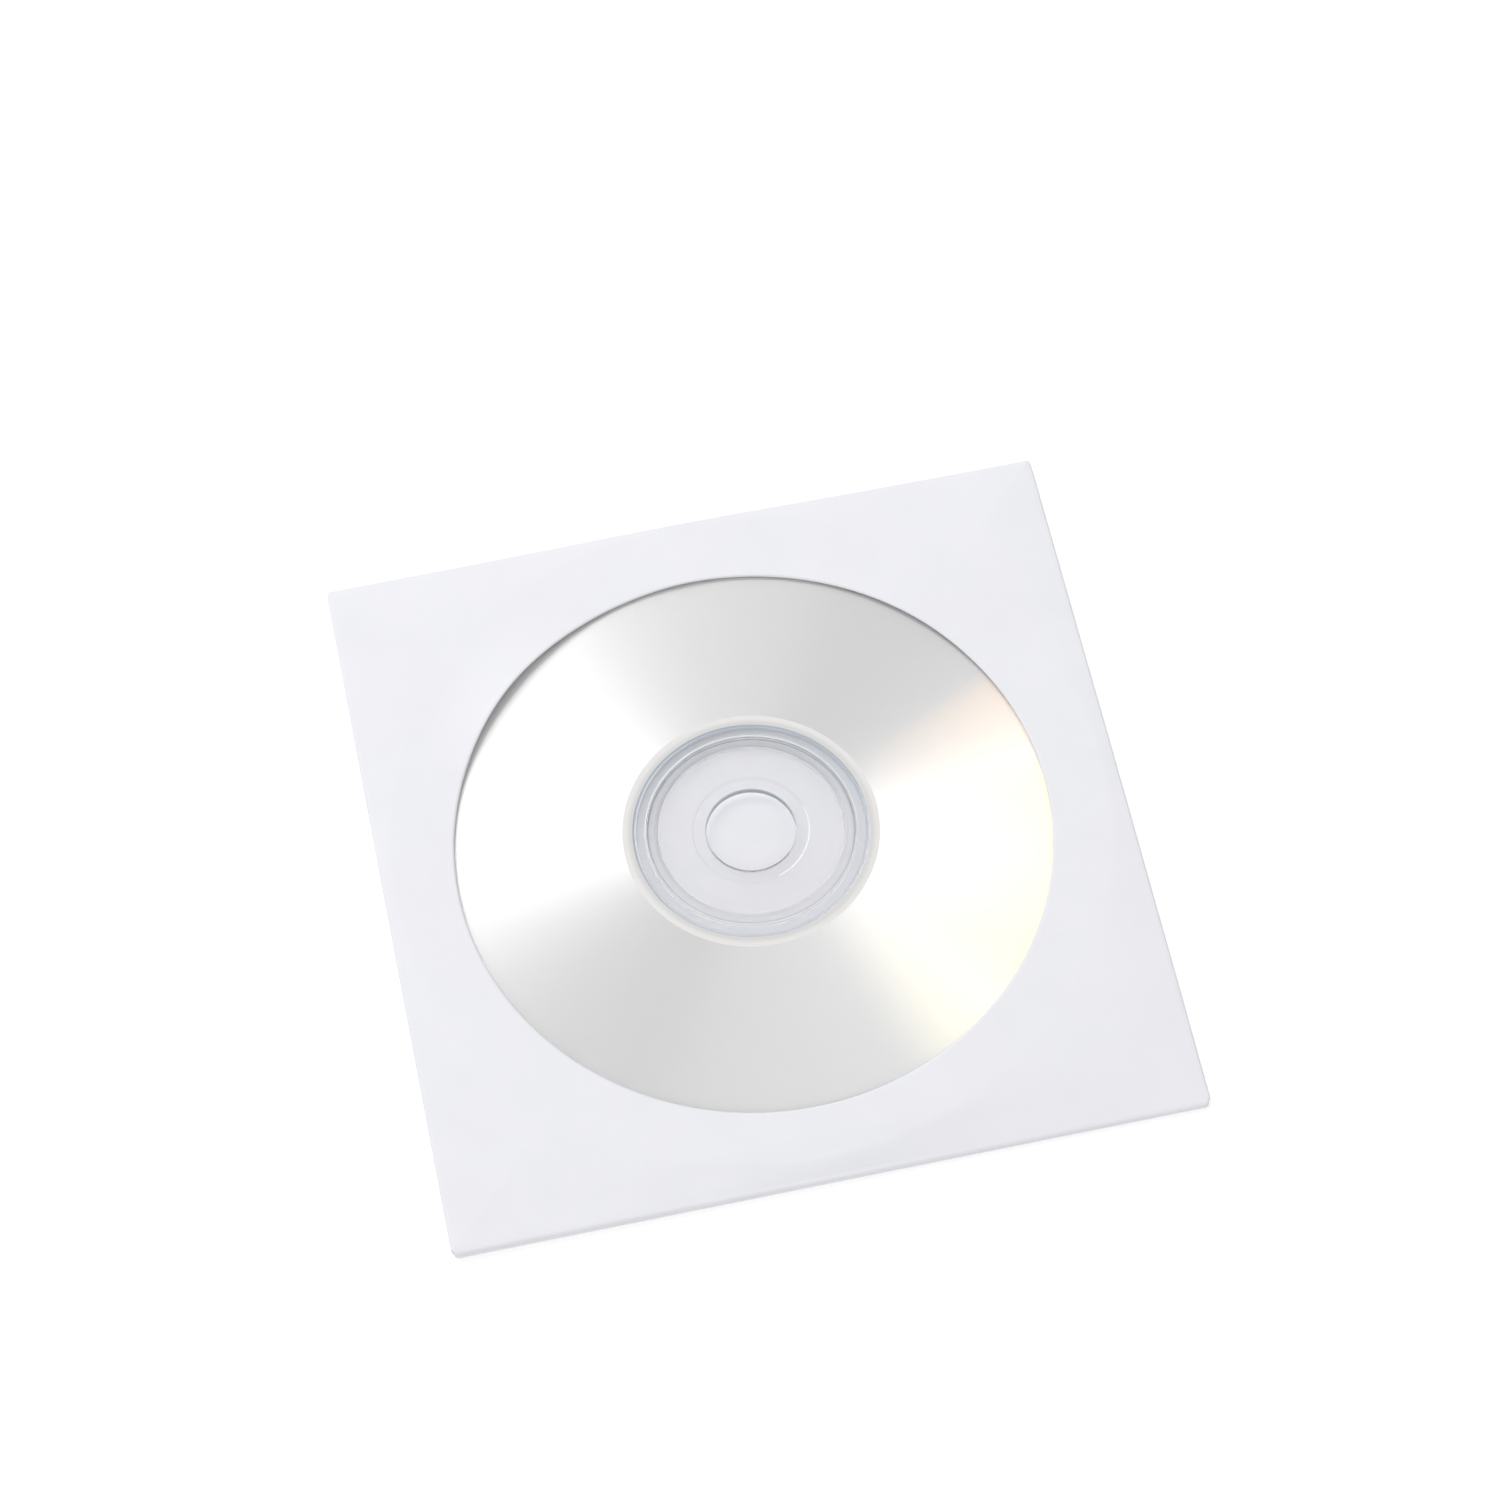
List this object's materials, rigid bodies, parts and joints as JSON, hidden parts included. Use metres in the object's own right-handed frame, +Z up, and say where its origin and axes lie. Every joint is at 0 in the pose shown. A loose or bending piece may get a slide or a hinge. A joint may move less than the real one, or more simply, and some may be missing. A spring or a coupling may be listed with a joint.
{
  "type": "window envelope",
  "caption": "Square white paper envelope with a round clear film window in its front panel, its closing flap folded down behind, holding a plain silver disc.",
  "frame": {"origin": "under the middle of the envelope's outline, on the surface that it lies on", "axes": "+Z up out of the window side, +Y towards the fold of the closing flap, +X to the right of the window side"},
  "size_m": [0.125, 0.125, 0.004],
  "materials": {
    "paper": "matte",
    "film": "gloss",
    "disc": "gloss"
  },
  "bodies": {
    "root": {"envelope": "paper", "window_film": "film", "compact_disc": "disc"}
  },
  "joints": []
}
